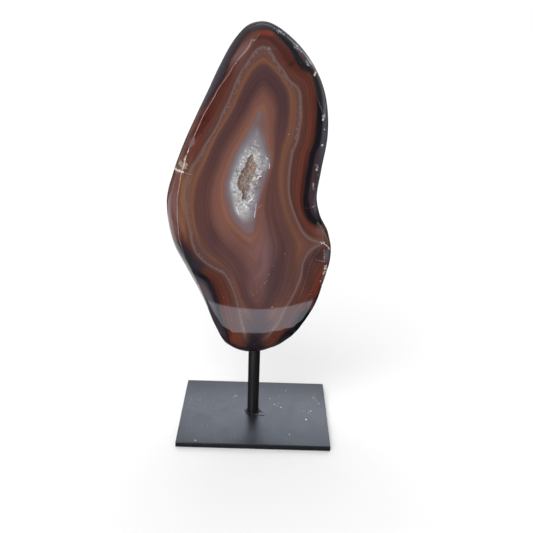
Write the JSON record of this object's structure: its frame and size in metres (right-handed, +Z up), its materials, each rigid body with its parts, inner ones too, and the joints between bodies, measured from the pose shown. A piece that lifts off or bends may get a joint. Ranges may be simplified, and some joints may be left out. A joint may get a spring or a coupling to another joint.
{
  "type": "agate slice on a metal stand",
  "caption": "Upright slab of polished banded agate with a crystal-lined hollow, held on a round rod that rises from a flat rectangular steel foot.",
  "frame": {"origin": "middle of the foot plate's underside, where the object meets the table", "axes": "+Z up along the rod, -Y the way the polished face looks, +X to the right seen from in front of that face"},
  "size_m": [0.0847, 0.06, 0.2069],
  "materials": {
    "agate": "polished banded agate, opaque",
    "druse": "fine sparkling quartz crystals",
    "stand_metal": "satin black coating",
    "plate_metal": "satin black powder coating"
  },
  "bodies": {
    "root": {"agate": "agate", "druse_crust": "druse", "rod": "stand_metal", "weld_bead": "stand_metal", "base_plate": "plate_metal"}
  },
  "joints": []
}
